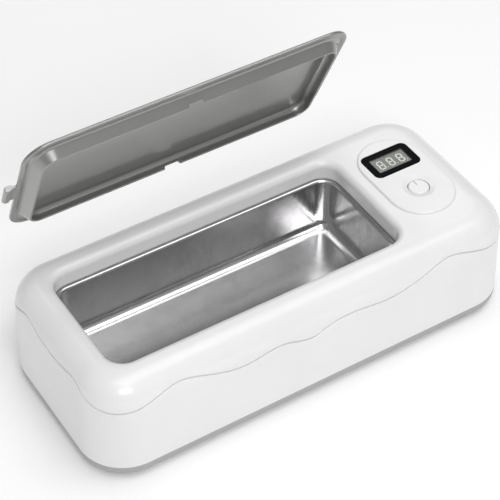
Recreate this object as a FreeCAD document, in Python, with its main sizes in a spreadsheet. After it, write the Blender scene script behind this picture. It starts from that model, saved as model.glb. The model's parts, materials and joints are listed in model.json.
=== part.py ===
import FreeCAD, Part

import math
import os
import re

import Sketcher

# Ultrasonic cleaner for jewellery and glasses: a white two-part case round a steel tank, a
# raised control panel at its right end, and a loose grey lid held open above the tank.
# The origin is the middle of the base cover's flat underside, X runs along the case, +Z is up,
# and the long front wall faces -Y. Everything is in millimetres.

doc = FreeCAD.newDocument("UltrasonicCleaner")

# ---------------------------------------------------------------- driving dimensions
SIZES = {
    # case
    "case_length": 200, "case_width": 88, "case_height": 49.5, "case_corner": 20,
    "case_wall": 2.2, "case_draft": 2.2, "top_round": 12,
    "band_top": 6.5, "base_round": 4.8, "base_floor": 2.2,
    "seam_width": 0.8, "seam_depth": 0.7,
    "rim_gap": 0.2, "rim_wall": 1.5, "rim_rise": 3,
    # tank and its opening
    "open_x": -16.5, "open_length": 135, "open_width": 56, "open_corner": 8,
    "collar_drop": 8, "lip_round": 3,
    "gasket_thick": 1, "steel_thick": 0.8, "flange_over": 4,
    "tank_step": 1.5, "tank_floor": 15, "tank_taper": 3, "tank_round": 4.5,
    "retainer_thick": 2,
    # transducer
    "bond_thick": 0.2, "piezo_dia": 45, "piezo_thick": 2.8,
    # control panel
    "panel_x": 72.1, "panel_y": 1, "panel_length": 30, "panel_width": 50, "panel_rise": 1,
    "panel_round": 0.9,
    "bezel_x": 71.9, "bezel_y": 12.1, "bezel_length": 23.1, "bezel_width": 14.8, "bezel_corner": 2.8,
    "bezel_thick": 1.7, "view_length": 16.9, "view_width": 9, "fit_gap": 0.1,
    "module_length": 19, "module_width": 11,
    "button_x": 72.6, "button_y": -7.3, "button_dia": 9, "button_hole": 9.6,
    "button_top": 50.1, "button_flange_dia": 12.6,
    "dish_dia": 14, "dish_depth": 1.2,
    "board_thick": 1.6, "display_board_top": 41.9,
    # driver board
    "driver_x": 70.8, "driver_y": 1, "driver_length": 27.6, "driver_width": 68,
    "driver_bottom": 9,
    "jack_x": 73, "jack_z": 16,
    # feet and fasteners
    "foot_dia": 10, "foot_high": 1.8, "foot_proud": 1, "foot_x": 70, "foot_y": 28,
    "case_screw_x": 89, "case_screw_y": 29.5, "boss_dia": 7,
    "small_boss_dia": 5,
    # lid
    "lid_length": 145, "lid_width": 66, "lid_corner": 11, "lid_thick": 1.6,
    "skirt_inset": 6.5, "skirt_wall": 1, "skirt_drop": 4.2, "skirt_draft": 29.7,
    "hollow_draft": 20, "plate_skin": 1.2, "notch_length": 6.2, "notch_depth": 1.5,
    "tab_width": 10.4, "tab_reach": 5, "bead_dia": 2.6,
    "lid_angle": 65, "lid_raise": 41, "lid_back": 36,
    "lid_round": 1, "lid_under_round": 0.3, "hollow_round": 1.5,
    # pieces inside
    "case_post_end": 8, "screw_seat": 4.2, "screw_dia": 2.9, "screw_head_dia": 5.4,
    "small_screw_dia": 2,
    "board_screw_x": 10.5, "board_screw_y": 19,
    "display_board_y": 3, "display_board_length": 28, "display_board_width": 46,
    "driver_screw_x": 11.2, "driver_screw_y": 31.5,
    "tank_screw_step": 48, "tank_screw_y": 35, "tank_shrink": 1.34, "tank_lip_round": 1.2,
    "foot_round": 0.8, "bezel_round": 0.3, "lens_thick": 0.5, "button_edge": 0.7,
    "plunger_dia": 3.4, "can_round": 0.8, "jack_nose_dia": 8, "jack_bore_dia": 5.7,
    "jack_bore_deep": 9, "jack_pin_dia": 2, "jack_pin_back": 1,
    # places of the components on the driver board
    "core_x": 70, "core_y": 12, "drum_x": 79.5, "drum_y": -4, "can_x": 63.5, "can_y": 26.5,
    "film_x": 69.5, "film_y": -3, "chip_x": 70, "chip_y": -26, "fet_x": 72, "fet_y": -11,
    "plug_x": 60.3, "plug_y": 2, "ribbon_x": 60.5, "ribbon_y": -8,
    # sizes of the components
    "core_length": 18, "core_width": 12, "core_high": 15, "core_leg": 3, "core_post": 5,
    "coil_length": 11.6, "coil_width": 19, "coil_corner": 3, "drum_dia": 9, "drum_neck_dia": 4,
    "drum_high": 10, "drum_flange": 1.5, "can_dia": 9, "can_high": 15, "film_length": 9.5,
    "film_width": 7, "film_high": 11, "fet_length": 10, "fet_thick": 4.4, "fet_lift": 5,
    "fet_high": 9, "leg_pitch": 2.5, "sink_length": 20, "sink_thick": 2, "sink_high": 19,
    "fin_pitch": 4.7, "fin_thick": 1.2, "fin_deep": 5,
}

sheet = doc.addObject("Spreadsheet::Sheet", "Sizes")
for row, (alias, value) in enumerate(SIZES.items(), start=1):
    sheet.set("A%d" % row, alias)
    sheet.set("B%d" % row, str(value))
    sheet.setAlias("B%d" % row, alias)
doc.recompute()


def size(alias):
    """The value of one cell."""
    return float(sheet.get(alias))


def formula(text):
    """Turn a formula written with aliases into a spreadsheet expression."""
    return re.sub(r"[a-z_]+", lambda m: "Sizes." * (m.group(0) in SIZES) + m.group(0), text)


def bind(thing, **properties):
    """Bind properties of an object to formulas of the sheet's aliases."""
    for name, text in properties.items():
        thing.setExpression(name.replace("__", "."), formula(text))


def place(thing, x="0", y="0", z="0"):
    """Bind an object's position to three formulas."""
    for axis, text in zip("xyz", (x, y, z)):
        thing.setExpression("Placement.Base." + axis, formula(text))


def node(thing, label):
    """Name an object as one finished piece."""
    thing.Label = label
    NODES.append(thing)
    return thing


NODES = []


# ---------------------------------------------------------------- building blocks
def rounded_sketch(body, name, length, width, corner):
    """A rounded rectangle centred on the body's XY plane."""
    sketch = body.newObject("Sketcher::SketchObject", name)
    plane = [f for f in body.Origin.OriginFeatures if f.Role == "XY_Plane"][0]
    sketch.AttachmentSupport = [(plane, "")]
    sketch.MapMode = "FlatFace"
    half_x, half_y, r = 20.0, 10.0, 3.0
    vector = FreeCAD.Vector
    corners = [(1, 1), (-1, 1), (-1, -1), (1, -1)]
    for turn, (sx, sy) in enumerate(corners):
        nx, ny = corners[(turn + 1) % 4]
        if turn % 2 == 0:
            start = vector(sx * (half_x - r), sy * half_y, 0)
            end = vector(nx * (half_x - r), ny * half_y, 0)
        else:
            start = vector(sx * half_x, sy * (half_y - r), 0)
            end = vector(nx * half_x, ny * (half_y - r), 0)
        sketch.addGeometry(Part.LineSegment(start, end), False)
    for turn, (sx, sy) in enumerate(corners):
        centre = vector(sx * (half_x - r), sy * (half_y - r), 0)
        begin = math.radians(90 * turn)
        arc = Part.ArcOfCircle(Part.Circle(centre, vector(0, 0, 1), r), begin, begin + math.pi / 2)
        sketch.addGeometry(arc, False)
    rules = []
    for turn in range(4):
        arc = 4 + turn
        rules.append(Sketcher.Constraint("Tangent", arc, 2, turn, 1))
        rules.append(Sketcher.Constraint("Tangent", (turn - 1) % 4, 2, arc, 1))
    rules += [Sketcher.Constraint("Horizontal", 0), Sketcher.Constraint("Horizontal", 2)]
    rules += [Sketcher.Constraint("Vertical", 1), Sketcher.Constraint("Vertical", 3)]
    rules += [Sketcher.Constraint("Equal", 4, arc) for arc in (5, 6, 7)]
    rules.append(Sketcher.Constraint("Symmetric", 0, 1, 2, 1, -1, 1))
    sketch.addConstraint(rules)
    for label, rule, text in (
        ("long", Sketcher.Constraint("DistanceX", 1, 1, 3, 1, 2 * half_x), length),
        ("wide", Sketcher.Constraint("DistanceY", 2, 1, 0, 1, 2 * half_y), width),
        ("round", Sketcher.Constraint("Radius", 4, r), corner),
    ):
        index = sketch.addConstraint(rule)
        sketch.renameConstraint(index, label)
        sketch.setExpression("Constraints." + label, formula(text))
    return sketch


def level_edges(shape, z):
    """Names of the edges that lie in the plane at height z."""
    return [
        "Edge%d" % index
        for index, edge in enumerate(shape.Edges, start=1)
        if abs(edge.BoundBox.ZMin - z) < 1e-4 and abs(edge.BoundBox.ZMax - z) < 1e-4
    ]


def round_level(body, feature, radius, top):
    """Fillet every edge of a pad's top or bottom face."""
    doc.recompute()
    box = feature.Shape.BoundBox
    fillet = body.newObject("PartDesign::Fillet", body.Name + ("_top" if top else "_foot"))
    fillet.Base = (feature, level_edges(feature.Shape, box.ZMax if top else box.ZMin))
    bind(fillet, Radius=radius)
    return fillet


def block(name, length, width, corner, height, at, taper=None, top=None, foot=None):
    """A rounded block: its plan, its height, its place, and the rounds of its two faces."""
    body = doc.addObject("PartDesign::Body", name)
    sketch = rounded_sketch(body, name + "_plan", length, width, corner)
    pad = body.newObject("PartDesign::Pad", name + "_pad")
    pad.Profile = sketch
    bind(pad, Length=height)
    if taper:
        bind(pad, TaperAngle=taper)
    last = pad
    if top:
        last = round_level(body, last, top, True)
    if foot:
        last = round_level(body, last, foot, False)
    place(body, *at)
    return body


def cylinder(name, diameter, height, at):
    """An upright cylinder."""
    rod = doc.addObject("Part::Cylinder", name)
    bind(rod, Radius="(%s) / 2" % diameter, Height=height)
    place(rod, *at)
    return rod


def brick(name, length, width, height, at):
    """A box centred in plan on its place."""
    solid = doc.addObject("Part::Box", name)
    bind(solid, Length=length, Width=width, Height=height)
    x, y, z = at
    place(solid, "%s - (%s) / 2" % (x, length), "%s - (%s) / 2" % (y, width), z)
    return solid


def fuse(name, *pieces):
    joined = doc.addObject("Part::MultiFuse", name)
    joined.Shapes = list(pieces)
    return joined


def cut(name, base, *tools):
    result = doc.addObject("Part::Cut", name)
    result.Base = base
    result.Tool = tools[0] if len(tools) == 1 else fuse(name + "_tools", *tools)
    return result


def group(name, pieces):
    """Separate solids that share one node."""
    together = doc.addObject("Part::Compound", name)
    together.Links = list(pieces)
    return together


def made(name, shape):
    """A piece whose shape comes from Part's own functions."""
    feature = doc.addObject("Part::Feature", name)
    feature.Shape = shape
    return feature


# ---------------------------------------------------------------- case
def case_form(name, inset, bottom, top):
    """The case's outer form, shrunk by an inset: drafted walls and a round top edge."""
    return block(
        name,
        "case_length - 2 * (%s)" % inset,
        "case_width - 2 * (%s)" % inset,
        "case_corner - (%s)" % inset,
        "(%s) - (%s)" % (top, bottom),
        ("0", "0", bottom),
        taper="-case_draft",
        top="top_round - (%s)" % inset,
    )


# Height of the wavy seam round one quarter of the case: the middle of the corner arc that the
# station hangs on, the direction it faces (0 is the front, 90 the end), and the height.
half_x = size("case_length") / 2 - size("case_corner")
half_y = size("case_width") / 2 - size("case_corner")
SEAM = [
    (0, half_y, 0, 34.1),
    (17, half_y, 0, 36.7),
    (34, half_y, 0, 35.0),
    (50, half_y, 0, 38.6),
    (65, half_y, 0, 42.2),
    (76, half_y, 0, 39.3),
    (half_x, half_y, 25, 37.0),
    (half_x, half_y, 60, 38.4),
    (half_x, 20, 90, 42.4),
    (half_x, 9, 90, 41.1),
    (half_x, 0, 90, 40.6),
]


def seam_loop(inset, rise):
    """The seam as a closed curve, moved into the wall by an inset and lifted by a rise."""
    radius = size("case_corner") - inset
    quarter = []
    for x, y, facing, z in SEAM:
        angle = math.radians(facing)
        quarter.append((x + radius * math.sin(angle), y + radius * math.cos(angle), z + rise))
    right_front = [(x, -y, z) for x, y, z in quarter]
    right_back = quarter[-2::-1]
    left_back = [(-x, y, z) for x, y, z in quarter[1:]]
    left_front = [(-x, -y, z) for x, y, z in quarter[-2:0:-1]]
    points = [FreeCAD.Vector(*p) for p in right_front + right_back + left_back + left_front]
    curve = Part.BSplineCurve()
    curve.interpolate(Points=points, PeriodicFlag=True)
    return curve.toShape()


def seam_band(inner_inset, rise, depth):
    """A ring as wide as the wall, whose top follows the seam."""
    outside, inside = -1.5, inner_inset
    ruled = Part.makeRuledSurface(seam_loop(outside, rise), seam_loop(inside, rise))
    return ruled.extrude(FreeCAD.Vector(0, 0, -depth))


outer = case_form("case_outer", "0", "band_top", "case_height")
skin = case_form("case_skin", "seam_depth", "band_top - 1", "case_height - seam_depth")
inner = case_form("case_inner", "case_wall", "band_top - 1", "case_height - case_wall")
hollow = cut("case_hollow", outer, inner)
doc.recompute()

below_seam = made("below_seam", seam_band(8, 0, size("case_height")))
groove_ring = made("groove_ring", seam_band(4, size("seam_width") / 2, size("seam_width")))
groove = cut("seam_groove", groove_ring, skin)
walls_cut = cut("case_grooved", hollow, groove)
doc.recompute()
lower_walls = doc.addObject("Part::Common", "lower_walls")
lower_walls.Base = walls_cut
lower_walls.Tool = below_seam
upper_walls = cut("upper_walls", walls_cut, below_seam)
doc.recompute()


def drill(name, diameter, start, height, x, y):
    """An upright cylinder that cuts a hole."""
    return cylinder(name, diameter, height, (x, y, start))


def corners_of(x, y, x_mid="0", y_mid="0"):
    """Four places, mirrored about a middle."""
    return [
        ("%s %s %s" % (x_mid, sx, x), "%s %s %s" % (y_mid, sy, y))
        for sx in "-+"
        for sy in "-+"
    ]


CASE_SCREWS = corners_of("case_screw_x", "case_screw_y")
BOARD_SCREWS = corners_of("board_screw_x", "board_screw_y", "panel_x", "display_board_y")
DRIVER_SCREWS = corners_of("driver_screw_x", "driver_screw_y", "driver_x", "driver_y")
TANK_SCREWS = [
    ("open_x %s tank_screw_step" % shift, "%s tank_screw_y" % side)
    for shift in ("- ", "+ 0 * ", "+ ")
    for side in "-+"
]


# ---------------------------------------------------------------- upper shell
COLLAR_END = "case_height - collar_drop"
STEEL_TOP = COLLAR_END + " - gasket_thick"
STEEL_END = STEEL_TOP + " - steel_thick"


def opening(name, over, start, height):
    """A rounded block in line with the tank opening, larger than it by a margin all round."""
    return block(
        name,
        "open_length + 2 * (%s)" % over,
        "open_width + 2 * (%s)" % over,
        "open_corner + (%s)" % over,
        height,
        ("open_x", "0", start),
    )


collar = opening("collar", "case_wall", COLLAR_END, "collar_drop - 1")
panel = block(
    "control_panel",
    "panel_length",
    "panel_width",
    "panel_length / 2 - 0.2",
    "panel_rise + 1",
    ("panel_x", "panel_y", "case_height - 1"),
    top="panel_round",
)
PANEL_TOP = "case_height + panel_rise"
BEZEL_END = PANEL_TOP + " + 0.1 - bezel_thick"
posts = []
for number, (x, y) in enumerate(CASE_SCREWS, start=1):
    posts.append(cylinder("case_post_%d" % number, "boss_dia", "case_height - 9", (x, y, "case_post_end")))
for number, (x, y) in enumerate(BOARD_SCREWS, start=1):
    start = "display_board_top"
    posts.append(cylinder("panel_post_%d" % number, "small_boss_dia", "6.5", (x, y, start)))
for number, (x, y) in enumerate(TANK_SCREWS, start=1):
    posts.append(cylinder("tank_post_%d" % number, "small_boss_dia", "9", (x, y, STEEL_END)))
posts_inside = doc.addObject("Part::Common", "posts_inside")
posts_inside.Base = fuse("posts", *posts)
posts_inside.Tool = skin

holes = [opening("opening_hole", "0", "case_height - collar_drop - 1", "collar_drop + 4")]
recess = block(
    "bezel_recess",
    "bezel_length + 2 * fit_gap",
    "bezel_width + 2 * fit_gap",
    "bezel_corner + fit_gap",
    "4",
    ("bezel_x", "bezel_y", BEZEL_END),
)
holes.append(recess)
holes.append(
    brick(
        "module_hole",
        "module_length + 0.6",
        "module_width + 0.6",
        "8",
        ("bezel_x", "bezel_y", "case_height - 5"),
    )
)
holes.append(drill("button_bore", "button_hole", "case_height - 5", "8", "button_x", "button_y"))
dish = doc.addObject("Part::Sphere", "button_dish")
DISH_RADIUS = "(dish_dia * dish_dia / 4 + dish_depth * dish_depth) / (2 * dish_depth)"
bind(dish, Radius=DISH_RADIUS)
place(dish, "button_x", "button_y", PANEL_TOP + " - dish_depth + " + DISH_RADIUS)
holes.append(dish)
for number, (x, y) in enumerate(CASE_SCREWS, start=1):
    holes.append(drill("case_pilot_%d" % number, "screw_dia + 0.1", "case_post_end - 1", "14", x, y))
for number, (x, y) in enumerate(BOARD_SCREWS, start=1):
    start = "display_board_top - 1"
    holes.append(drill("panel_pilot_%d" % number, "small_screw_dia + 0.1", start, "5.5", x, y))
for number, (x, y) in enumerate(TANK_SCREWS, start=1):
    holes.append(drill("tank_pilot_%d" % number, "small_screw_dia + 0.1", STEEL_END + " - 1", "6", x, y))

upper_raw = cut("upper_raw", fuse("upper_solid", upper_walls, collar, panel, posts_inside), *holes)
doc.recompute()


def round_edges(name, base, radius, test):
    """Round the edges of a finished solid that pass a test."""
    fillet = doc.addObject("Part::Fillet", name)
    fillet.Base = base
    chosen = [index for index, edge in enumerate(base.Shape.Edges, start=1) if test(edge.BoundBox)]
    fillet.Edges = [(index, size(radius), size(radius)) for index in chosen]
    return fillet


def on_level(z):
    """A test for edges that lie level at a height."""
    return lambda b: abs(b.ZMin - z) < 1e-3 and abs(b.ZMax - z) < 1e-3


def in_opening(z):
    """A test for edges that lie level at a height, within the outline of the tank opening."""
    reach_x = size("open_length") / 2 + 0.5
    reach_y = size("open_width") / 2 + 0.5
    return lambda b: (
        on_level(z)(b)
        and abs(b.XMin - size("open_x")) < reach_x
        and abs(b.XMax - size("open_x")) < reach_x
        and max(-b.YMin, b.YMax) < reach_y
    )


lip = in_opening(size("case_height"))
upper_shell = node(round_edges("upper_lip", upper_raw, "lip_round", lip), "upper_shell")

# ---------------------------------------------------------------- lower shell and base
jack_hole = cylinder("jack_hole", "jack_nose_dia + 0.4", "10", ("jack_x", "case_width / 2 + 3", "jack_z"))
jack_hole.Placement.Rotation = FreeCAD.Rotation(FreeCAD.Vector(1, 0, 0), 90)
lower_shell = node(cut("lower_case", lower_walls, jack_hole), "lower_shell")

FLOOR = "base_floor"
RIM = "case_wall + rim_gap"
base_solid = [
    block(
        "base_block",
        "case_length",
        "case_width",
        "case_corner",
        "band_top",
        ("0", "0", "0"),
        foot="base_round",
    )
]
base_solid.append(
    block(
        "base_rim",
        "case_length - 2 * (%s)" % RIM,
        "case_width - 2 * (%s)" % RIM,
        "case_corner - (%s)" % RIM,
        "band_top + rim_rise - (%s)" % FLOOR,
        ("0", "0", FLOOR),
    )
)
base_hollow = block(
    "base_hollow",
    "case_length - 2 * (%s + rim_wall)" % RIM,
    "case_width - 2 * (%s + rim_wall)" % RIM,
    "case_corner - (%s + rim_wall)" % RIM,
    "band_top + rim_rise",
    ("0", "0", FLOOR),
)
base_posts = []
base_holes = []
for number, (x, y) in enumerate(CASE_SCREWS, start=1):
    height = "case_post_end - (%s)" % FLOOR
    base_posts.append(cylinder("base_post_%d" % number, "boss_dia", height, (x, y, FLOOR)))
    base_holes.append(drill("base_bore_%d" % number, "screw_dia + 0.4", "0", "12", x, y))
    start = "screw_seat - 6"
    base_holes.append(drill("base_seat_%d" % number, "screw_head_dia + 0.4", start, "6", x, y))
for number, (x, y) in enumerate(DRIVER_SCREWS, start=1):
    height = "driver_bottom - (%s)" % FLOOR
    base_posts.append(cylinder("driver_post_%d" % number, "small_boss_dia", height, (x, y, FLOOR)))
    start = FLOOR
    base_holes.append(drill("driver_pilot_%d" % number, "small_screw_dia + 0.1", start, "8", x, y))
foot_marks = ("front_left", "back_left", "front_right", "back_right")
for mark, (x, y) in zip(foot_marks, corners_of("foot_x", "foot_y")):
    base_holes.append(drill("foot_seat_" + mark, "foot_dia + 0.2", "-foot_proud", "foot_high", x, y))
    foot = cylinder("foot_block_" + mark, "foot_dia", "foot_high", (x, y, "-foot_proud"))
    doc.recompute()
    rounded_foot = round_edges("foot_" + mark + "_round", foot, "foot_round", lambda b: b.ZMax < 0)
    node(rounded_foot, "foot_" + mark)
base_tray = cut("base_tray", fuse("base_solid", *base_solid), base_hollow)
base_cover = node(cut("base_plate", fuse("base_all", base_tray, *base_posts), *base_holes), "base_cover")


def screws(name, places, diameter, head_dia, head_high, seat, length, up):
    """A group of pan-head screws: each head's face on its seat, its shank up or down."""
    made_screws = []
    for number, (x, y) in enumerate(places, start=1):
        head_start = "(%s) - %s" % (seat, head_high) if up else seat
        shank_start = seat if up else "(%s) - %s" % (seat, length)
        head = cylinder("%s_head_%d" % (name, number), head_dia, head_high, (x, y, head_start))
        shank = cylinder("%s_shank_%d" % (name, number), diameter, length, (x, y, shank_start))
        slot_start = head_start if up else "(%s) + %s - 0.6" % (seat, head_high)
        slot = brick("%s_slot_%d" % (name, number), head_dia, "0.6", "0.6", (x, y, slot_start))
        cross = brick("%s_cross_%d" % (name, number), "0.6", head_dia, "0.6", (x, y, slot_start))
        body = fuse("%s_body_%d" % (name, number), head, shank)
        made_screws.append(cut("%s_%d" % (name, number), body, slot, cross))
    return node(group(name + "_set", made_screws), name)


screws("case_screws", CASE_SCREWS, "screw_dia", "screw_head_dia", "1.8", "screw_seat", "14", True)

# ---------------------------------------------------------------- tank
TANK_OVER = "-tank_step - tank_shrink"
TANK_DEEP = STEEL_TOP + " - tank_floor"
tank_cavity = block(
    "tank_cavity",
    "open_length + 2 * (%s)" % TANK_OVER,
    "open_width + 2 * (%s)" % TANK_OVER,
    "open_corner + (%s)" % TANK_OVER,
    TANK_DEEP,
    ("open_x", "0", "tank_floor"),
    taper="tank_taper",
    foot="tank_round",
)
tank_form = block(
    "tank_form",
    "open_length + 2 * (%s + steel_thick)" % TANK_OVER,
    "open_width + 2 * (%s + steel_thick)" % TANK_OVER,
    "open_corner + (%s + steel_thick)" % TANK_OVER,
    TANK_DEEP + " + steel_thick",
    ("open_x", "0", "tank_floor - steel_thick"),
    taper="tank_taper",
    foot="tank_round + steel_thick",
)
tank_flange = opening("tank_flange", "flange_over", STEEL_END, "steel_thick")
tank_raw = cut("tank_raw", fuse("tank_solid", tank_form, tank_flange), tank_cavity)
doc.recompute()
tank_edge = in_opening(size("case_height") - size("collar_drop") - size("gasket_thick"))
node(round_edges("tank_lip", tank_raw, "tank_lip_round", tank_edge), "tank")

gasket_out = opening("gasket_outer", "flange_over", STEEL_TOP, "gasket_thick")
gasket_in = opening("gasket_inner", "0.6", STEEL_TOP + " - 1", "gasket_thick + 2")
node(cut("gasket_ring", gasket_out, gasket_in), "tank_gasket")

RETAINER_END = STEEL_END + " - retainer_thick"
retainer = [opening("retainer_plate", "flange_over", RETAINER_END, "retainer_thick")]
retainer_cuts = [opening("retainer_hole", "0.6", RETAINER_END + " - 1", "retainer_thick + 2")]
for number, (x, y) in enumerate(TANK_SCREWS, start=1):
    ear = cylinder("retainer_ear_%d" % number, "small_boss_dia + 3", "retainer_thick", (x, y, RETAINER_END))
    retainer.append(ear)
    start = RETAINER_END + " - 1"
    retainer_cuts.append(drill("ear_bore_%d" % number, "small_screw_dia + 0.3", start, "5", x, y))
node(cut("retainer", fuse("retainer_solid", *retainer), *retainer_cuts), "tank_retainer")
screws("tank_screws", TANK_SCREWS, "small_screw_dia", "4.2", "1.4", RETAINER_END, "6.5", True)

TANK_END = "tank_floor - steel_thick"
PIEZO = ("open_x", "0")
bond = cylinder("bond_disc", "piezo_dia", "bond_thick", PIEZO + (TANK_END + " - bond_thick",))
node(bond, "transducer_bond")
PIEZO_END = TANK_END + " - bond_thick - piezo_thick"
node(cylinder("piezo_disc", "piezo_dia", "piezo_thick", PIEZO + (PIEZO_END,)), "piezo_transducer")

# ---------------------------------------------------------------- display and button
bezel_block = block(
    "bezel_block",
    "bezel_length",
    "bezel_width",
    "bezel_corner",
    "bezel_thick",
    ("bezel_x", "bezel_y", BEZEL_END),
    top="bezel_round",
)
view_hole = brick("view_hole", "view_length", "view_width", "6", ("bezel_x", "bezel_y", BEZEL_END + " - 1"))
node(cut("bezel_frame", bezel_block, view_hole), "display_bezel")
lens = brick(
    "lens_plate",
    "view_length - 2 * fit_gap",
    "view_width - 2 * fit_gap",
    "lens_thick",
    ("bezel_x", "bezel_y", BEZEL_END + " + bezel_thick - lens_thick - 0.2"),
)
node(lens, "display_lens")
module = brick(
    "module_block",
    "module_length",
    "module_width",
    BEZEL_END + " - display_board_top",
    ("bezel_x", "bezel_y", "display_board_top"),
)
node(module, "display_module")

board = brick(
    "display_board_plate",
    "display_board_length",
    "display_board_width",
    "board_thick",
    ("panel_x", "display_board_y", "display_board_top - board_thick"),
)
board_holes = []
for number, (x, y) in enumerate(BOARD_SCREWS, start=1):
    start = "display_board_top - 4"
    board_holes.append(drill("display_board_bore_%d" % number, "small_screw_dia + 0.3", start, "6", x, y))
node(cut("display_board_cut", board, *board_holes), "display_board")
BOARD_END = "display_board_top - board_thick"
screws("display_board_screws", BOARD_SCREWS, "small_screw_dia", "3.8", "1.2", BOARD_END, "5.6", True)

BUTTON = ("button_x", "button_y")
switch_case = brick("switch_case", "6", "6", "3.4", BUTTON + ("display_board_top",))
switch_bore = cylinder("switch_bore", "plunger_dia + 0.2", "4", BUTTON + ("display_board_top + 0.8",))
node(cut("switch_body", switch_case, switch_bore), "tact_switch")
node(cylinder("plunger_rod", "plunger_dia", "2.6", BUTTON + ("display_board_top + 1.6",)), "switch_plunger")
button_cap = cylinder("button_cap", "button_dia", "4", BUTTON + ("button_top - 4",))
button_flange = cylinder(
    "button_flange", "button_flange_dia", "1", BUTTON + ("display_board_top + 4.2",)
)
button_raw = fuse("button_raw", button_cap, button_flange)
doc.recompute()
top_ring = on_level(size("button_top"))
node(round_edges("button_round", button_raw, "button_edge", top_ring), "power_button")

# ---------------------------------------------------------------- driver board
driver = brick(
    "driver_plate",
    "driver_length",
    "driver_width",
    "board_thick",
    ("driver_x", "driver_y", "driver_bottom"),
)
driver_holes = []
for number, (x, y) in enumerate(DRIVER_SCREWS, start=1):
    start = "driver_bottom - 1"
    driver_holes.append(drill("driver_bore_%d" % number, "small_screw_dia + 0.3", start, "4", x, y))
node(cut("driver_cut", driver, *driver_holes), "driver_board")
DRIVER_TOP = "driver_bottom + board_thick"
screws("driver_screws", DRIVER_SCREWS, "small_screw_dia", "3.8", "1.2", DRIVER_TOP, "6", False)


def on_board(x, y, lift="0"):
    """A place on the driver board's top face."""
    return (x, y, "driver_bottom + board_thick + " + lift)


CORE_X, CORE_Y = "core_x", "core_y"
LEG_SHIFT = "(core_length - core_leg) / 2"
core = fuse(
    "core",
    brick("core_bottom", "core_length", "core_width", "core_leg", on_board(CORE_X, CORE_Y)),
    brick(
        "core_top", "core_length", "core_width", "core_leg",
        on_board(CORE_X, CORE_Y, "core_high - core_leg"),
    ),
    brick("core_left", "core_leg", "core_width", "core_high", on_board("core_x - " + LEG_SHIFT, CORE_Y)),
    brick("core_right", "core_leg", "core_width", "core_high", on_board("core_x + " + LEG_SHIFT, CORE_Y)),
    brick("core_middle", "core_post", "core_width", "core_high", on_board(CORE_X, CORE_Y)),
)
node(core, "transformer_core")
coil_block = block(
    "coil_block",
    "coil_length",
    "coil_width",
    "coil_corner",
    "core_high - 2 * core_leg - 2 * fit_gap",
    on_board(CORE_X, CORE_Y, "core_leg + fit_gap"),
)
coil_bore = brick(
    "coil_bore", "core_post + fit_gap", "core_width + fit_gap", "core_high", on_board(CORE_X, CORE_Y)
)
node(cut("coil", coil_block, coil_bore), "transformer_winding")

drum_ends = [
    cylinder("drum_foot", "drum_dia", "drum_flange", on_board("drum_x", "drum_y")),
    cylinder("drum_top", "drum_dia", "drum_flange", on_board("drum_x", "drum_y", "drum_high - drum_flange")),
    cylinder("drum_neck", "drum_neck_dia", "drum_high", on_board("drum_x", "drum_y")),
]
node(fuse("drum", *drum_ends), "inductor_core")
drum_wire = cylinder(
    "drum_wire",
    "drum_dia - 1",
    "drum_high - 2 * drum_flange - 2 * fit_gap",
    on_board("drum_x", "drum_y", "drum_flange + fit_gap"),
)
drum_bore = cylinder("drum_bore", "drum_neck_dia + fit_gap", "drum_high", on_board("drum_x", "drum_y"))
node(cut("drum_winding", drum_wire, drum_bore), "inductor_winding")

can = cylinder("capacitor_can", "can_dia", "can_high", on_board("can_x", "can_y"))
doc.recompute()
can_top = on_level(size("driver_bottom") + size("board_thick") + size("can_high"))
node(round_edges("capacitor_round", can, "can_round", can_top), "filter_capacitor")
film_place = on_board("film_x", "film_y")
film = block("film_block", "film_length", "film_width", "can_round", "film_high", film_place, top="can_round")
node(film, "film_capacitor")
node(brick("chip_block", "10", "4", "1.6", on_board("chip_x", "chip_y")), "control_chip")

fet_body = brick("fet_body", "fet_length", "fet_thick", "fet_high", on_board("fet_x", "fet_y", "fet_lift"))
fet_legs = [
    brick(
        "fet_leg_%d" % (leg + 1),
        "0.8",
        "0.6",
        "fet_lift + 1",
        on_board("fet_x + leg_pitch * (%d)" % leg, "fet_y"),
    )
    for leg in (-1, 0, 1)
]
node(fuse("fet", fet_body, *fet_legs), "power_transistor")
SINK_Y = "fet_y - fet_thick / 2 - fit_gap - sink_thick / 2"
FIN_Y = SINK_Y + " - (sink_thick + fin_deep) / 2"
sink_plate = brick("sink_plate", "sink_length", "sink_thick", "sink_high", on_board("fet_x", SINK_Y))
fins = [
    brick(
        "fin_%d" % fin,
        "fin_thick",
        "fin_deep + fit_gap",
        "sink_high",
        on_board("fet_x + fin_pitch * (%d - 2)" % fin, FIN_Y),
    )
    for fin in range(5)
]
node(fuse("sink", sink_plate, *fins), "heat_sink")

plug_block = brick("plug_block", "6", "7", "6", on_board("plug_x", "plug_y"))
plug_slot = brick("plug_slot", "4", "5", "3", on_board("plug_x - 2.5", "plug_y", "1"))
node(cut("plug_cut", plug_block, plug_slot), "transducer_connector")
node(brick("display_plug", "4", "10", "5", on_board("ribbon_x", "ribbon_y")), "display_connector")

BACK = "case_width / 2"
jack_box = brick("jack_box", "9", "11.4", "10.8", on_board("jack_x", "35.2"))
jack_nose = cylinder("jack_nose", "jack_nose_dia", "12", ("jack_x", BACK + " - 0.4", "jack_z"))
jack_bore = cylinder("jack_bore", "jack_bore_dia", "jack_bore_deep", ("jack_x", BACK + " + 0.4", "jack_z"))
PIN_LENGTH = "jack_bore_deep - 0.4 - jack_pin_back"
PIN_FACE = BACK + " - jack_pin_back"
jack_pin = cylinder("jack_pin_rod", "jack_pin_dia", PIN_LENGTH, ("jack_x", PIN_FACE, "jack_z"))
for rod in (jack_nose, jack_bore, jack_pin):
    rod.Placement.Rotation = FreeCAD.Rotation(FreeCAD.Vector(1, 0, 0), 90)
node(cut("jack_shell", fuse("jack_solid", jack_box, jack_nose), jack_bore), "power_jack")
node(jack_pin, "jack_pin")


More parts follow.
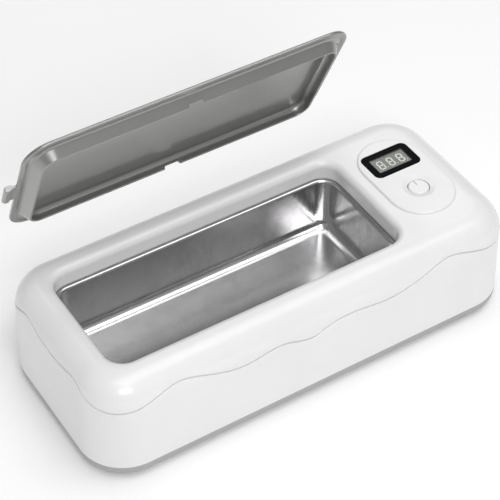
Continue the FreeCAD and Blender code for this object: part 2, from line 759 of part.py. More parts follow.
# ---------------------------------------------------------------- leads
def soft_path(points):
    """Straight runs joined by arcs as large as the two runs beside each bend allow."""
    spots = [FreeCAD.Vector(*p) for p in points]
    edges = []
    start = spots[0]
    for before, corner, after in zip(spots, spots[1:], spots[2:]):
        back = before - corner
        ahead = after - corner
        reach = 0.45 * min(back.Length, ahead.Length)
        back.normalize()
        ahead.normalize()
        first = corner + back * reach
        last = corner + ahead * reach
        turn = math.pi - back.getAngle(ahead)
        radius = reach / math.tan(turn / 2)
        middle = back + ahead
        middle.normalize()
        sag = radius / math.cos(turn / 2) - radius
        edges.append(Part.LineSegment(start, first).toShape())
        edges.append(Part.Arc(first, corner + middle * sag, last).toShape())
        start = last
    edges.append(Part.LineSegment(start, spots[-1]).toShape())
    return Part.Wire(edges)


def lead(name, label, points, diameter):
    """A round insulated wire along a route."""
    path = soft_path(points)
    along = path.Edges[0].tangentAt(0)
    ring = Part.Wire([Part.makeCircle(diameter / 2, FreeCAD.Vector(*points[0]), along)])
    return node(made(name, path.makePipeShell([ring], True, False)), label)


solder_gap = 0.5
PIEZO_Z = size("tank_floor") - size("steel_thick") - size("bond_thick") - size("piezo_thick")
for label, side in (("transducer_lead_red", 1), ("transducer_lead_black", -1)):
    route = [
        (57.3, 2 + 1.2 * side, 13.2),
        (52.5, 2 + 1.2 * side, 12.6),
        (46.5, 1.6 + 1.4 * side, 8.6),
        (36, 0.8 + 2.2 * side, 6.8),
        (24, 0.2 + 2.2 * side, 6.4),
        (13, 3.2 * side, 6.6),
        (5, 3.4 * side, 7.2),
        (0.5, 3.6 * side, 9),
        (-0.8, 3.8 * side, PIEZO_Z - solder_gap),
    ]
    lead("wire_" + label, label, route, 1.4)

ribbon_top = size("display_board_top") - size("board_thick")
ribbon_end = size("driver_bottom") + size("board_thick") + 5
ribbon_x, ribbon_y = size("ribbon_x"), size("ribbon_y")
ribbon_thick, ribbon_wide = 0.8, 8
ribbon_path = soft_path([
    (ribbon_x, ribbon_y, ribbon_top),
    (ribbon_x, ribbon_y, ribbon_top - 6),
    (ribbon_x - 2.4, ribbon_y, ribbon_top - 12.5),
    (ribbon_x, ribbon_y, ribbon_end + 6),
    (ribbon_x, ribbon_y, ribbon_end),
])
ribbon_end_face = Part.makePlane(
    ribbon_thick,
    ribbon_wide,
    FreeCAD.Vector(ribbon_x - ribbon_thick / 2, ribbon_y - ribbon_wide / 2, ribbon_top),
)
ribbon_ring = Part.Wire(ribbon_end_face.Edges)
node(made("ribbon", ribbon_path.makePipeShell([ribbon_ring], True, True)), "display_cable")


# ---------------------------------------------------------------- lid
# Modelled closed, with the middle of the plate's underside at the origin, then tilted and
# raised to where it is held open.
def lid_block(name, inset, corner, start, height, **shape):
    """A rounded block in line with the lid, smaller than it by an inset."""
    return block(
        name,
        "lid_length - 2 * (%s)" % inset,
        "lid_width - 2 * (%s)" % inset,
        corner,
        height,
        ("0", "0", start),
        **shape
    )


lid_plate = lid_block(
    "lid_plate", "0", "lid_corner", "0", "lid_thick", top="lid_round", foot="lid_under_round"
)
# The skirt's corners turn about the same centres as the opening's, so its gap is even all round.
SKIRT_CORNER = "open_corner + (lid_length - open_length) / 2 - skirt_inset"
skirt = lid_block(
    "lid_skirt", "skirt_inset", SKIRT_CORNER, "-skirt_drop", "skirt_drop", taper="skirt_draft"
)
skirt_hollow = lid_block(
    "lid_hollow",
    "skirt_inset + skirt_wall",
    SKIRT_CORNER + " - skirt_wall",
    "-skirt_drop",
    "skirt_drop + lid_thick - plate_skin",
    taper="hollow_draft",
    top="hollow_round",
)
notch = brick("lid_notch", "notch_length", "lid_width", "notch_depth + 1", ("0", "0", "-skirt_drop - 1"))

# The finger tab stands out from the middle of the left end, with a bead along its edge.
TAB_END = "-tab_reach - lid_length / 2"
tab = brick(
    "lid_tab",
    "tab_reach + 1",
    "tab_width",
    "lid_thick",
    (TAB_END + " + bead_dia / 2 + (tab_reach + 1) / 2 - 0.1", "0", "0"),
)
bead = cylinder(
    "tab_bead",
    "bead_dia",
    "tab_width",
    (TAB_END + " + bead_dia / 2", "tab_width / 2", "bead_dia / 2"),
)
bead.Placement.Rotation = FreeCAD.Rotation(FreeCAD.Vector(1, 0, 0), 90)

lid_solid = fuse("lid_solid", lid_plate, skirt, tab, bead)
lid = node(cut("lid_whole", lid_solid, skirt_hollow, notch), "lid")
lid.Placement.Rotation = FreeCAD.Rotation(FreeCAD.Vector(1, 0, 0), -size("lid_angle"))
place(lid, "open_x", "lid_back", "case_height + lid_raise")

# ---------------------------------------------------------------- check and write
doc.recompute()
for thing in doc.Objects:
    if "Invalid" in thing.State or "Error" in thing.State:
        raise RuntimeError("%s is in error" % thing.Label)
os.makedirs("parts", exist_ok=True)
for thing in NODES:
    shape = thing.Shape
    if shape.isNull() or not shape.isValid():
        raise RuntimeError("%s has no valid shape" % thing.Label)
    shape.exportStep("parts/%s.step" % thing.Label)
    print("%-24s %2d solid(s) %9.1f mm3" % (thing.Label, len(shape.Solids), shape.Volume))
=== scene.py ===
import json
import math

import bmesh
import bpy
from mathutils import Matrix, Vector


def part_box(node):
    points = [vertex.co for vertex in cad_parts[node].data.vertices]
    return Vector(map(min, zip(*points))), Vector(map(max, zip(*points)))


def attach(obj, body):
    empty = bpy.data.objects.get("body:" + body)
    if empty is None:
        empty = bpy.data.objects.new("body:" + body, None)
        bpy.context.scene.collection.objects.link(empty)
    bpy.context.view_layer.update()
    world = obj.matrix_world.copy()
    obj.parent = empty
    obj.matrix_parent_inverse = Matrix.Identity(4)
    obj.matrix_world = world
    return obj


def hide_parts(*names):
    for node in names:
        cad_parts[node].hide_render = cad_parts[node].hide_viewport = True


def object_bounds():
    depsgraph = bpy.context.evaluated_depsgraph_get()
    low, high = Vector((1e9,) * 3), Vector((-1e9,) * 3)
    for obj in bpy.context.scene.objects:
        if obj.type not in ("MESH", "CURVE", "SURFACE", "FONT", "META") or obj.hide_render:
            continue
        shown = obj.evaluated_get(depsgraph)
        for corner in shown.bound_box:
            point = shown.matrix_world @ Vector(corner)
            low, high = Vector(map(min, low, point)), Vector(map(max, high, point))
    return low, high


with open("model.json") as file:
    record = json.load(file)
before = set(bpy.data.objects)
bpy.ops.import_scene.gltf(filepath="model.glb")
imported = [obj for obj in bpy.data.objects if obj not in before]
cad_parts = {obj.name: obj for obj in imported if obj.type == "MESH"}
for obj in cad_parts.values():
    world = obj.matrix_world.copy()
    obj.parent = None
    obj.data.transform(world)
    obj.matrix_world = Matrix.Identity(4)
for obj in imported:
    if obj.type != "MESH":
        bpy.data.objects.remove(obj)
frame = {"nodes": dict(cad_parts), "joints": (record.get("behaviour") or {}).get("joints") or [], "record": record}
CAD_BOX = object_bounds()

# An ultrasonic cleaner: the CAD nodes keep their shapes and get their finishes here, the lid gets
# its moulded section, and the display and the button get their marks. Lengths are in metres, and
# angles with a plain number are in degrees.
MM = 0.001


def top_of(node):
    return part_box(node)[1].z


def middle_of(node):
    low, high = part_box(node)
    return (low + high) / 2


def add_object(name, data):
    """A new object with this data, linked to the scene."""
    made = bpy.data.objects.new(name, data)
    bpy.context.scene.collection.objects.link(made)
    return made


# ---------------------------------------------------------------- finishes
# Noise seldom leaves this range, so it is what gets spread out over a finish's own range.
NOISE_LOW, NOISE_HIGH = 0.3, 0.7

# How far apart the bands of a wave texture are at a scale of 1.
WAVE_PITCH = 0.314

UNSTRETCHED = (1, 1, 1)


class Finish:
    """A procedural material built round one Principled shader."""

    def __init__(self, name, colour, roughness, **sockets):
        self.name = name
        self.material = bpy.data.materials.new(name)
        self.material.use_nodes = True
        self.nodes = self.material.node_tree.nodes
        self.links = self.material.node_tree.links
        self.shader = self.nodes["Principled BSDF"]
        self.place = self.nodes.new("ShaderNodeTexCoord").outputs["Object"]
        self.set("Base Color", (*colour, 1))
        self.set("Roughness", roughness)
        for socket, value in sockets.items():
            self.set(socket.replace("_", " "), value)

    def set(self, socket, value):
        self.shader.inputs[socket].default_value = value

    def node(self, kind, **settings):
        made = self.nodes.new(kind)
        for name, value in settings.items():
            setattr(made, name, value)
        return made

    def stretched(self, stretch):
        """Object coordinates, scaled along each axis."""
        mapping = self.node("ShaderNodeMapping")
        mapping.inputs["Scale"].default_value = stretch
        self.links.new(self.place, mapping.inputs["Vector"])
        return mapping.outputs["Vector"]

    def noise(self, cell, detail, stretch=UNSTRETCHED, warp=0.0):
        """Noise whose cells are about this many metres across."""
        texture = self.node("ShaderNodeTexNoise")
        texture.inputs["Scale"].default_value = 1 / cell
        texture.inputs["Detail"].default_value = detail
        texture.inputs["Distortion"].default_value = warp
        self.links.new(self.stretched(stretch), texture.inputs["Vector"])
        return texture.outputs["Fac"]

    def waves(self, pitch, axis, warp=0.0):
        """Parallel bands this many metres apart."""
        texture = self.node("ShaderNodeTexWave", wave_type="BANDS", bands_direction=axis)
        texture.inputs["Scale"].default_value = WAVE_PITCH / pitch
        texture.inputs["Distortion"].default_value = warp
        self.links.new(self.place, texture.inputs["Vector"])
        return texture.outputs["Fac"]

    def specks(self, cell):
        """Distance to the nearest of many scattered points."""
        texture = self.node("ShaderNodeTexVoronoi")
        texture.inputs["Scale"].default_value = 1 / cell
        self.links.new(self.place, texture.inputs["Vector"])
        return texture.outputs["Distance"]

    def spread(self, source, low, high, start, stop):
        """A source between start and stop, spread out from low to high."""
        scale = self.node("ShaderNodeMapRange")
        limits = {"From Min": start, "From Max": stop, "To Min": low, "To Max": high}
        for socket, value in limits.items():
            scale.inputs[socket].default_value = value
        self.links.new(source, scale.inputs["Value"])
        return scale.outputs["Result"]

    def colours(self, source, first, second, start=NOISE_LOW, stop=NOISE_HIGH):
        """The base colour goes from first to second with a source."""
        mix = self.node("ShaderNodeMix", data_type="RGBA")
        mix.inputs["A"].default_value = (*first, 1)
        mix.inputs["B"].default_value = (*second, 1)
        share = self.spread(source, 0, 1, start, stop)
        self.links.new(share, mix.inputs["Factor"])
        self.links.new(mix.outputs["Result"], self.shader.inputs["Base Color"])

    def roughness(self, source, low, high):
        """The roughness goes from low to high with a source."""
        level = self.spread(source, low, high, NOISE_LOW, NOISE_HIGH)
        self.links.new(level, self.shader.inputs["Roughness"])

    def bump(self, source, depth, strength=1.0):
        """Relief of a real depth in metres; a later call adds to the earlier ones."""
        relief = self.node("ShaderNodeBump")
        relief.inputs["Distance"].default_value = depth
        relief.inputs["Strength"].default_value = strength
        before = [link.from_socket for link in self.shader.inputs["Normal"].links]
        if before:
            self.links.new(before[0], relief.inputs["Normal"])
        self.links.new(source, relief.inputs["Height"])
        self.links.new(relief.outputs["Normal"], self.shader.inputs["Normal"])


def tinted(colour, factor):
    return tuple(channel * factor for channel in colour)


def plastic(name, colour, roughness, grain=1.1 * MM, relief=0.0008 * MM, uneven=1.0, **sockets):
    """Moulded plastic: faint flow marks, a fine skin texture and uneven shine."""
    finish = Finish(name, colour, roughness, **sockets)
    darker, lighter = tinted(colour, 0.95), tinted(colour, 1.03)
    duller, brighter = 1 + 0.18 * uneven, 1 - 0.12 * uneven
    flow = finish.noise(cell=38 * MM, detail=2, warp=0.6)
    finish.colours(flow, darker, lighter, start=0, stop=1)
    shine = finish.noise(cell=9 * MM, detail=3)
    finish.roughness(shine, low=roughness * brighter, high=roughness * duller)
    finish.bump(finish.noise(cell=grain, detail=2), depth=relief)
    finish.bump(flow, depth=0.03 * MM, strength=0.4)
    return finish


def metal(name, colour, roughness, stretch=UNSTRETCHED, line=0.25 * MM, relief=0.003 * MM):
    """Worked metal: drawing or grinding lines along one way, and cloudy colour."""
    finish = Finish(name, colour, roughness, Metallic=1.0)
    darker, lighter = tinted(colour, 0.9), tinted(colour, 1.04)
    brighter, duller = roughness * 0.75, roughness * 1.3
    lines = finish.noise(cell=line, detail=3, stretch=stretch)
    cloud = finish.noise(cell=16 * MM, detail=4, warp=0.8)
    finish.colours(cloud, darker, lighter)
    finish.roughness(lines, low=brighter, high=duller)
    finish.bump(lines, depth=relief)
    return finish


def wound(name, colour, pitch, axis, **sockets):
    """Wire or tape wound in close turns."""
    finish = Finish(name, colour, 0.35, **sockets)
    painted_groove_shade = tinted(colour, 0.6)
    # The darker colour in the grooves between the turns is painted shade.
    turns = finish.waves(pitch, axis, warp=0.3)
    finish.colours(turns, painted_groove_shade, colour, start=0.1, stop=0.6)
    finish.roughness(finish.noise(cell=2 * MM, detail=3), low=0.28, high=0.5)
    finish.bump(turns, depth=pitch * 0.4)
    return finish


def grained(name, colour, roughness, grain, relief):
    """A sintered, cast or moulded surface with a visible grain."""
    finish = Finish(name, colour, roughness)
    darker, lighter = tinted(colour, 0.75), tinted(colour, 1.2)
    brighter, duller = roughness * 0.8, min(1.0, roughness * 1.25)
    grains = finish.noise(cell=grain, detail=4)
    finish.colours(grains, darker, lighter)
    finish.roughness(finish.noise(cell=grain * 6, detail=3), low=brighter, high=duller)
    finish.bump(grains, depth=relief)
    return finish


def circuit_board():
    """Green solder mask over copper tracks."""
    finish = Finish("circuit_board", (0.03, 0.2, 0.09), 0.3, Coat_Weight=0.4)
    between, over_track = (0.02, 0.15, 0.06), (0.05, 0.27, 0.12)
    tracks = finish.waves(pitch=1.6 * MM, axis="DIAGONAL", warp=6.0)
    finish.colours(tracks, between, over_track, start=0.45, stop=0.55)
    finish.roughness(finish.noise(cell=3 * MM, detail=3), low=0.3, high=0.42)
    finish.bump(tracks, depth=0.03 * MM)
    return finish


def display_grey():
    """The grey-green face of a liquid crystal display, unevenly bright and finely ribbed."""
    finish = Finish("display", (0.15, 0.163, 0.14), 0.4, Specular_IOR_Level=0.3)
    darker, lighter = (0.115, 0.127, 0.108), (0.185, 0.2, 0.172)
    glow = finish.noise(cell=14 * MM, detail=1, stretch=(1, 0.2, 1))
    finish.colours(glow, darker, lighter)
    finish.roughness(finish.noise(cell=1 * MM, detail=2), low=0.3, high=0.42)
    finish.bump(finish.waves(pitch=0.25 * MM, axis="X"), depth=0.004 * MM)
    return finish


def lens_clear():
    """A clear acrylic window, with fine scratches and a faintly wavy face."""
    finish = Finish("lens", (0.9, 0.92, 0.92), 0.06, Alpha=0.05)
    scratches = finish.noise(cell=0.6 * MM, detail=4, stretch=(1, 6, 1))
    finish.roughness(scratches, low=0.03, high=0.12)
    finish.bump(finish.noise(cell=5 * MM, detail=2), depth=0.004 * MM)
    return finish


def steel_tank():
    """Deep-drawn stainless steel: drawing lines up the walls, soft dents, faint water marks."""
    up_walls = (1, 1, 0.04)
    finish = metal(
        "stainless", (0.66, 0.655, 0.66), 0.2, stretch=up_walls, line=0.5 * MM, relief=0.0015 * MM
    )
    marks = finish.specks(cell=11 * MM)
    dents = finish.noise(cell=22 * MM, detail=2, warp=0.5)
    finish.bump(dents, depth=0.12 * MM, strength=0.5)
    finish.bump(marks, depth=0.006 * MM, strength=0.4)
    return finish


ALL_FINISHES = (
    plastic("white_plastic", (0.83, 0.825, 0.83), 0.34, Coat_Weight=0.4, Coat_Roughness=0.12),
    plastic("grey_plastic", (0.4, 0.4, 0.405), 0.42, grain=0.28 * MM, relief=0.008 * MM),
    plastic(
        "lid_grey", (0.33, 0.33, 0.322), 0.34, uneven=0.25,
        Metallic=0.8, Coat_Weight=0.6, Coat_Roughness=0.08,
    ),
    grained("rubber", (0.045, 0.045, 0.047), 0.78, grain=0.3 * MM, relief=0.02 * MM),
    grained("seal", (0.72, 0.72, 0.7), 0.5, grain=0.5 * MM, relief=0.006 * MM),
    metal("screw_steel", (0.6, 0.6, 0.61), 0.2, line=0.12 * MM),
    steel_tank(),
    plastic("inner_plastic", (0.6, 0.6, 0.59), 0.5, grain=0.4 * MM, relief=0.012 * MM),
    grained("epoxy", (0.6, 0.5, 0.3), 0.4, grain=1.2 * MM, relief=0.02 * MM),
    metal("ceramic", (0.72, 0.7, 0.66), 0.45, line=0.3 * MM, relief=0.006 * MM),
    plastic("black_gloss", (0.004, 0.004, 0.005), 0.34, Specular_IOR_Level=0.03),
    lens_clear(),
    display_grey(),
    circuit_board(),
    grained("black_plastic", (0.02, 0.02, 0.021), 0.5, grain=0.3 * MM, relief=0.01 * MM),
    grained("ferrite", (0.05, 0.05, 0.055), 0.6, grain=0.25 * MM, relief=0.02 * MM),
    wound("winding", (0.75, 0.55, 0.08), pitch=1.1 * MM, axis="Z"),
    wound("copper", (0.72, 0.34, 0.14), pitch=0.5 * MM, axis="Z", Metallic=1.0),
    plastic("capacitor", (0.02, 0.025, 0.09), 0.34, grain=0.4 * MM, relief=0.004 * MM),
    grained("film", (0.45, 0.06, 0.03), 0.4, grain=2.5 * MM, relief=0.03 * MM),
    metal("aluminium", (0.66, 0.67, 0.69), 0.4, stretch=(1, 1, 0.05), line=0.15 * MM),
    plastic("connector", (0.78, 0.74, 0.62), 0.45),
    plastic("wire_red", (0.5, 0.01, 0.01), 0.4, grain=0.3 * MM),
    plastic("wire_black", (0.012, 0.012, 0.013), 0.4, grain=0.3 * MM),
    wound("ribbon", (0.42, 0.42, 0.43), pitch=1.27 * MM, axis="Y"),
    plastic("display_mark", (0.78, 0.8, 0.74), 0.4, grain=0.2 * MM, relief=0.001 * MM),
    plastic("symbol_grey", (0.5, 0.5, 0.51), 0.35, grain=0.2 * MM, relief=0.001 * MM),
)
FINISHES = {finish.name: finish.material for finish in ALL_FINISHES}

for part in frame["record"]["subparts"]:
    paint = FINISHES[part["material_slot"]]
    slots = frame["nodes"][part["node"]].material_slots
    for index in range(len(slots)):
        slots[index].link = "OBJECT"
        slots[index].material = paint


# ---------------------------------------------------------------- mesh making
# Faces that meet at less than this angle are shaded as one surface.
SMOOTH_BELOW = math.radians(35)

QUARTER_TURN = 90


def rounded(corners, steps=6):
    """A path through corners (across, up, radius), each rounded by an arc of its radius."""
    path = []
    last = len(corners) - 1
    for index, (across, up, radius) in enumerate(corners):
        here = Vector((across, up))
        if radius == 0 or index in (0, last):
            path.append(here)
            continue
        back = (Vector(corners[index - 1][:2]) - here).normalized()
        ahead = (Vector(corners[index + 1][:2]) - here).normalized()
        half = back.angle(ahead) / 2
        middle = here + (back + ahead).normalized() * radius / math.sin(half)
        start = here + back * radius / math.tan(half) - middle
        turn = start.angle_signed(here + ahead * radius / math.tan(half) - middle)
        for step in range(steps + 1):
            path.append(middle + Matrix.Rotation(-turn * step / steps, 2) @ start)
    return path


def outline(length, width, corner, inset, steps, breaks=()):
    """A rounded rectangle, drawn in by an inset, with extra points along its long sides."""
    half_x, half_y = length / 2 - corner, width / 2 - corner
    radius = corner - inset
    points = []
    for turn, (side_x, side_y) in enumerate(((1, 1), (-1, 1), (-1, -1), (1, -1))):
        for step in range(steps + 1):
            angle = math.radians(QUARTER_TURN * (turn + step / steps))
            points.append((
                side_x * half_x + radius * math.cos(angle),
                side_y * half_y + radius * math.sin(angle),
            ))
        along_a_long_side = turn in (0, 2)
        if along_a_long_side:
            for x in breaks:
                points.append((-side_y * x, side_y * (half_y + radius)))
    return points


def mesh_piece(name, build, finish, body):
    """An object from a bmesh that build fills, smooth where its faces meet gently."""
    mesh = bpy.data.meshes.new(name)
    form = bmesh.new()
    build(form)
    bmesh.ops.recalc_face_normals(form, faces=form.faces)
    for edge in form.edges:
        edge.smooth = len(edge.link_faces) == 2 and edge.calc_face_angle(0) < SMOOTH_BELOW
    for face in form.faces:
        face.smooth = True
    form.to_mesh(mesh)
    form.free()
    mesh.materials.append(FINISHES[finish])
    piece = add_object(name, mesh)
    weighted = piece.modifiers.new("even_shading", "WEIGHTED_NORMAL")
    weighted.keep_sharp = True
    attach(piece, body)
    return piece


def skin_rings(form, rings):
    """Faces between rings of equal length, capped at both ends."""
    made = [[form.verts.new(point) for point in ring] for ring in rings]
    count = len(made[0])
    form.faces.new(made[0])
    form.faces.new(reversed(made[-1]))
    for low, high in zip(made, made[1:]):
        for index in range(count):
            after = (index + 1) % count
            form.faces.new((low[index], high[index], high[after], low[after]))


def slab(form, length, width, corner, height, edge, centre):
    """A block with a rounded plan and rounded upper edges, standing on its centre point."""
    flat_start = edge * 1.5
    side = rounded([(0, 0, 0), (0, height, edge), (flat_start, height, 0)], steps=4)
    rings = []
    for inset, up in side:
        ring = outline(length, width, corner, inset, steps=6)
        rings.append([centre + Vector((x, y, up)) for x, y in ring])
    skin_rings(form, rings)


# ---------------------------------------------------------------- lid
LID_LENGTH = 145 * MM
LID_WIDTH = 66 * MM
LID_CORNER = 11 * MM
PLATE = 1.6 * MM
GROOVE = 0.4 * MM
DROP = 4.2 * MM
RIM = 2.6 * MM
SKIRT_TOP = 3.88 * MM
SKIRT_CORNER = 13 * MM

# The section through the edge: distance in from the edge, height above the deck, radius.
LID_SECTION = [
    (3.0 * MM, PLATE, 0),                # edge of the flat top face
    (0, PLATE, 1.0 * MM),                # upper edge
    (0, 0, 0.5 * MM),                    # lower edge
    (2.0 * MM, 0, 1.0 * MM),             # inner end of the rim's flat
    (RIM, GROOVE, 0.7 * MM),             # outer wall of the groove
    (SKIRT_TOP, GROOVE, 1.8 * MM),       # top of the skirt, outside
    (6.5 * MM, -DROP, 0.5 * MM),         # foot of the skirt, outside
    (7.5 * MM, -DROP, 0.35 * MM),        # foot of the skirt, inside
    (5.83 * MM, GROOVE, 2.0 * MM),       # top of the skirt, inside
    (9.8 * MM, GROOVE, 0),               # edge of the flat underside
]

NOTCH_LENGTH = 6.2 * MM
NOTCH_DEPTH = 1.5 * MM
NOTCH_SLOPE = 0.6 * MM
JUST_INSIDE = 0.01 * MM

TAB_WIDTH = 10.4 * MM
TAB_REACH = 5 * MM
TAB_ROOT = 0.6 * MM
TONGUE_FOOT = 0.15 * MM
TONGUE_TOP = PLATE - 0.25 * MM
BEAD = 2.6 * MM
BEAD_DROP = 0.5 * MM
BEAD_RADIUS = BEAD * 0.48

# How the bead is rounded at its ends: distance in from the end, share of the full section.
TAB_ENDS = ((0, 0.8), (0.15 * MM, 0.93), (0.45 * MM, 1.0))

BEZEL_ABOVE_DECK = 1.1 * MM
CLOSED_GAP = 0.05 * MM

swing = next(joint for joint in frame["joints"] if joint["name"] == "lid_swing")
OPEN_ANGLE = math.radians(-swing["range_deg"][0])
PIVOT = Vector(swing["pos_m"])
DECK = top_of("display_bezel") - BEZEL_ABOVE_DECK + CLOSED_GAP


def lid_at_rest():
    """The matrix that takes the closed lid, centred on the deck, to where it is held open."""
    closed = Matrix.Translation((PIVOT.x, 0, DECK))
    turn = Matrix.Rotation(OPEN_ANGLE, 4, Vector(swing["axis"]))
    return Matrix.Translation(PIVOT) @ turn @ Matrix.Translation(-PIVOT) @ closed


def notched(x, y, up):
    """Height of a skirt point, cut down in the notch at the middle of each long side."""
    inside = abs(x) < NOTCH_LENGTH / 2 and abs(y) > LID_WIDTH / 4
    return max(up, NOTCH_DEPTH - DROP) if inside else up


def build_lid(form):
    """The lid's rounded plate with its rim, groove and skirt, and a notch in each long side."""
    edge = NOTCH_LENGTH / 2
    breaks = [-edge - NOTCH_SLOPE, -edge + JUST_INSIDE, edge - JUST_INSIDE, edge + NOTCH_SLOPE]
    rings = []
    for inset, up in rounded(LID_SECTION):
        share = min(1, max(0, (inset - RIM) / (SKIRT_TOP - RIM)))
        corner = LID_CORNER + (SKIRT_CORNER - LID_CORNER) * share
        ring = outline(LID_LENGTH, LID_WIDTH, corner, inset, steps=14, breaks=breaks)
        rings.append([Vector((x, y, notched(x, y, up))) for x, y in ring])
    skin_rings(form, rings)
    bmesh.ops.transform(form, matrix=lid_at_rest(), verts=form.verts)


def build_tab(form):
    """The finger tab: a flat tongue with a bead along its edge, rounded at the bead's ends."""
    end = -LID_LENGTH / 2 - TAB_REACH
    root = end + TAB_REACH + TAB_ROOT
    corners = [
        (root, TONGUE_FOOT, 0),
        (end + BEAD * 1.15, TONGUE_FOOT, 0.8 * MM),
        (end + BEAD * 0.95, -BEAD_DROP, 0.4 * MM),
        (end, -BEAD_DROP, BEAD_RADIUS),
        (end, BEAD - BEAD_DROP, BEAD_RADIUS),
        (end + BEAD * 1.1, BEAD - BEAD_DROP, 0.6 * MM),
        (end + BEAD * 1.5, TONGUE_TOP, 0.6 * MM),
        (root, TONGUE_TOP, 0),
    ]
    section = rounded(corners, steps=5)
    middle = sum(section, Vector((0, 0))) / len(section)
    near_end = [(-TAB_WIDTH / 2 + inward, share) for inward, share in TAB_ENDS]
    far_end = [(-y, share) for y, share in reversed(near_end)]
    rings = []
    for y, share in near_end + far_end:
        points = [middle + (point - middle) * share for point in section]
        rings.append([Vector((x, y, up)) for x, up in points])
    skin_rings(form, rings)
    bmesh.ops.transform(form, matrix=lid_at_rest(), verts=form.verts)


lid_shell = mesh_piece("lid_shell", build_lid, "lid_grey", "lid")
lid_tab = mesh_piece("lid_tab", build_tab, "lid_grey", "lid")
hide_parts("lid")


# ---------------------------------------------------------------- display
DIGIT_WIDTH = 2.3 * MM
DIGIT_HEIGHT = 4.7 * MM
DIGIT_PITCH = 4.95 * MM
DIGIT_SHIFT = 0.1 * MM
POINT_ASIDE = 1.0 * MM
POINT_LIFT = 0.05 * MM
STROKE = 0.5 * MM
STROKE_GAP = 0.07 * MM
MARK_HEIGHT = 0.03 * MM
FACE_CORNER = 0.4 * MM
FACE_EDGE = 0.15 * MM
LENS_GAP = 0.06 * MM

window_low, window_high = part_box("display_lens")
window = middle_of("display_lens")
FACE_TOP = window_low.z - LENS_GAP


def build_face(form):
    """The display's own glass, standing on the module right under the lens."""
    foot = top_of("display_module")
    size = window_high - window_low
    centre = Vector((window.x, window.y, foot))
    slab(form, size.x, size.y, FACE_CORNER, FACE_TOP - foot, FACE_EDGE, centre)


def bar(form, start, end):
    """A flat stroke with pointed ends between two points on the display's face."""
    along = (end - start).normalized()
    aside = Vector((-along.y, along.x))
    half = STROKE / 2
    plan = [
        start,
        start + (along + aside) * half,
        end + (aside - along) * half,
        end,
        end - (along + aside) * half,
        start + (along - aside) * half,
    ]
    levels = (FACE_TOP, FACE_TOP + MARK_HEIGHT)
    skin_rings(form, [[Vector((p.x, p.y, up)) for p in plan] for up in levels])


def build_digits(form):
    """Three figure eights, each followed by a point."""
    reach_x, reach_y = DIGIT_WIDTH / 2, DIGIT_HEIGHT / 2
    strokes = [((-1, side), (1, side)) for side in (-1, 0, 1)]
    strokes += [((side, low), (side, low + 1)) for side in (-1, 1) for low in (-1, 0)]
    for place in (-1, 0, 1):
        middle = Vector((window.x + place * DIGIT_PITCH + DIGIT_SHIFT, window.y))
        for first, second in strokes:
            start = middle + Vector((first[0] * reach_x, first[1] * reach_y))
            end = middle + Vector((second[0] * reach_x, second[1] * reach_y))
            inward = (end - start).normalized() * STROKE_GAP
            bar(form, start + inward, end - inward)
        point = middle + Vector((reach_x + POINT_ASIDE, -reach_y + POINT_LIFT))
        half = Vector((STROKE / 2, 0))
        bar(form, point - half, point + half)


display_face = mesh_piece("display_face", build_face, "display", "case")
display_digits = mesh_piece("display_digits", build_digits, "display_mark", "case")


# ---------------------------------------------------------------- button
BUTTON_RADIUS = 4.5 * MM
BUTTON_GAP = 0.3 * MM
HOLE_RADIUS = BUTTON_RADIUS + BUTTON_GAP

SYMBOL_BAR = 0.55 * MM
SYMBOL_START = 1.1 * MM
SYMBOL_END = 4.3 * MM
SYMBOL_HEIGHT = 0.05 * MM
SYMBOL_EDGE = 0.03 * MM
SYMBOL_SUNK = 0.01 * MM

LAND_HALF_ANGLE = 30
LAND_STEPS = 16
LAND_GAP = 0.05 * MM
LAND_DEPTH = 2 * MM
LAND_DROP = 0.26 * MM
WALL_OVERLAP = 0.1 * MM

button = middle_of("power_button")
BUTTON_TOP = top_of("power_button")


def build_symbol(form):
    """The upright stroke of the power sign; the gap round the button is its ring."""
    middle_y = button.y + (SYMBOL_START + SYMBOL_END) / 2
    centre = Vector((button.x, middle_y, BUTTON_TOP - SYMBOL_SUNK))
    length = SYMBOL_END - SYMBOL_START
    slab(form, SYMBOL_BAR, length, SYMBOL_BAR / 2, SYMBOL_HEIGHT, SYMBOL_EDGE, centre)


def build_land(form):
    """A short land of the panel that fills the gap behind the button and so breaks the ring."""
    low, high = BUTTON_TOP - LAND_DEPTH, BUTTON_TOP - LAND_DROP
    near, far = BUTTON_RADIUS + LAND_GAP, HOLE_RADIUS + WALL_OVERLAP
    section = ((near, low), (far, low), (far, high), (near, high))
    hub = Vector((button.x, button.y, 0))
    rings = []
    for step in range(LAND_STEPS + 1):
        angle = math.radians(QUARTER_TURN + LAND_HALF_ANGLE * (2 * step / LAND_STEPS - 1))
        way = Vector((math.cos(angle), math.sin(angle), 0))
        rings.append([hub + way * out + Vector((0, 0, up)) for out, up in section])
    skin_rings(form, rings)


power_symbol = mesh_piece("power_symbol", build_symbol, "symbol_grey", "button")
button_land = mesh_piece("button_land", build_land, "white_plastic", "case")


# ---------------------------------------------------------------- stage, light and camera
FLOOR = CAD_BOX[0].z
FLOOR_REACH = 4.0
FLOOR_CELLS = 8
CASE_MIDDLE = Vector((0, 0, (top_of("upper_shell") + FLOOR) / 2))
WHITE = (1, 1, 1, 1)
SENSOR_WIDTH_MM = 36
NEAREST, FARTHEST = 0.05, 20


def direction(azimuth, elevation):
    """Which way something stands from the case; azimuth 0 is in front, 90 at the right end."""
    a, e = math.radians(azimuth), math.radians(elevation)
    return Vector((math.sin(a) * math.cos(e), -math.cos(a) * math.cos(e), math.sin(e)))


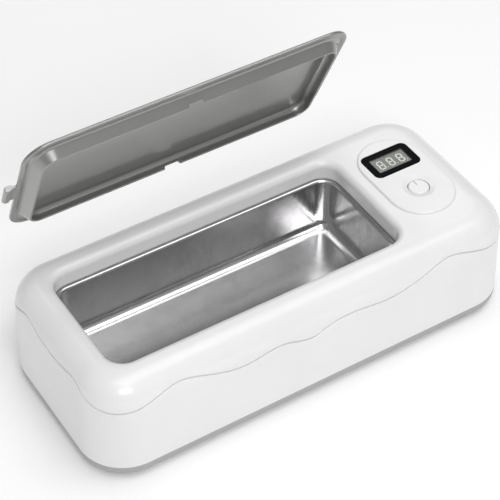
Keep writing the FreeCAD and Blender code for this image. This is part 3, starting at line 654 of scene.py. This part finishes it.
def stage_floor():
    """A wide, dull, near-white floor that glows a little, as in the photo studio."""
    mesh = bpy.data.meshes.new("floor")
    form = bmesh.new()
    bmesh.ops.create_grid(
        form, x_segments=FLOOR_CELLS, y_segments=FLOOR_CELLS, size=FLOOR_REACH
    )
    form.to_mesh(mesh)
    form.free()
    floor = add_object("floor", mesh)
    floor.location.z = FLOOR
    finish = Finish("floor", (0.93, 0.93, 0.93), 0.9, Emission_Strength=0.07)
    finish.set("Emission Color", WHITE)
    darker, lighter = (0.925, 0.925, 0.925), (0.94, 0.94, 0.94)
    finish.colours(finish.noise(cell=0.2, detail=2), darker, lighter)
    mesh.materials.append(finish.material)


def stage_world(strength):
    """Even white light from everywhere."""
    world = bpy.data.worlds.new("studio")
    world.use_nodes = True
    background = world.node_tree.nodes["Background"]
    background.inputs["Color"].default_value = WHITE
    background.inputs["Strength"].default_value = strength
    bpy.context.scene.world = world


def softbox(name, azimuth, elevation, distance, width, height, power):
    """An area light that faces the case."""
    light = bpy.data.lights.new(name, "AREA")
    light.shape = "RECTANGLE"
    light.size, light.size_y = width, height
    light.energy = power
    lamp = add_object(name, light)
    way = direction(azimuth, elevation)
    lamp.location = CASE_MIDDLE + way * distance
    lamp.rotation_euler = way.to_track_quat("Z", "Y").to_euler()


def stage_camera(azimuth, elevation, roll, distance, lens, shift):
    """A camera that looks at the case's middle, shifted to frame it; the lens is in millimetres."""
    camera = bpy.data.cameras.new("camera")
    camera.lens = lens
    camera.sensor_width = SENSOR_WIDTH_MM
    camera.shift_x, camera.shift_y = shift
    camera.clip_start, camera.clip_end = NEAREST, FARTHEST
    holder = add_object("camera", camera)
    way = direction(azimuth, elevation)
    facing = way.to_track_quat("Z", "Y").to_matrix().to_4x4()
    rolled = Matrix.Rotation(math.radians(roll), 4, "Z")
    holder.matrix_world = Matrix.Translation(CASE_MIDDLE + way * distance) @ (facing @ rolled)
    bpy.context.scene.camera = holder


stage_floor()
stage_world(strength=0.36)
softbox("overhead", azimuth=20, elevation=74, distance=0.9, width=0.9, height=0.5, power=3.7)
softbox("front_left", azimuth=-20, elevation=40, distance=1.1, width=0.45, height=0.3, power=3.5)
softbox("back", azimuth=160, elevation=50, distance=1.0, width=0.9, height=0.4, power=1.75)
stage_camera(
    azimuth=-32.65, elevation=45.17, roll=0.38, distance=0.7089, lens=122.8,
    shift=(-0.0255, 0.0678),
)
bpy.context.scene.view_settings.view_transform = "Standard"
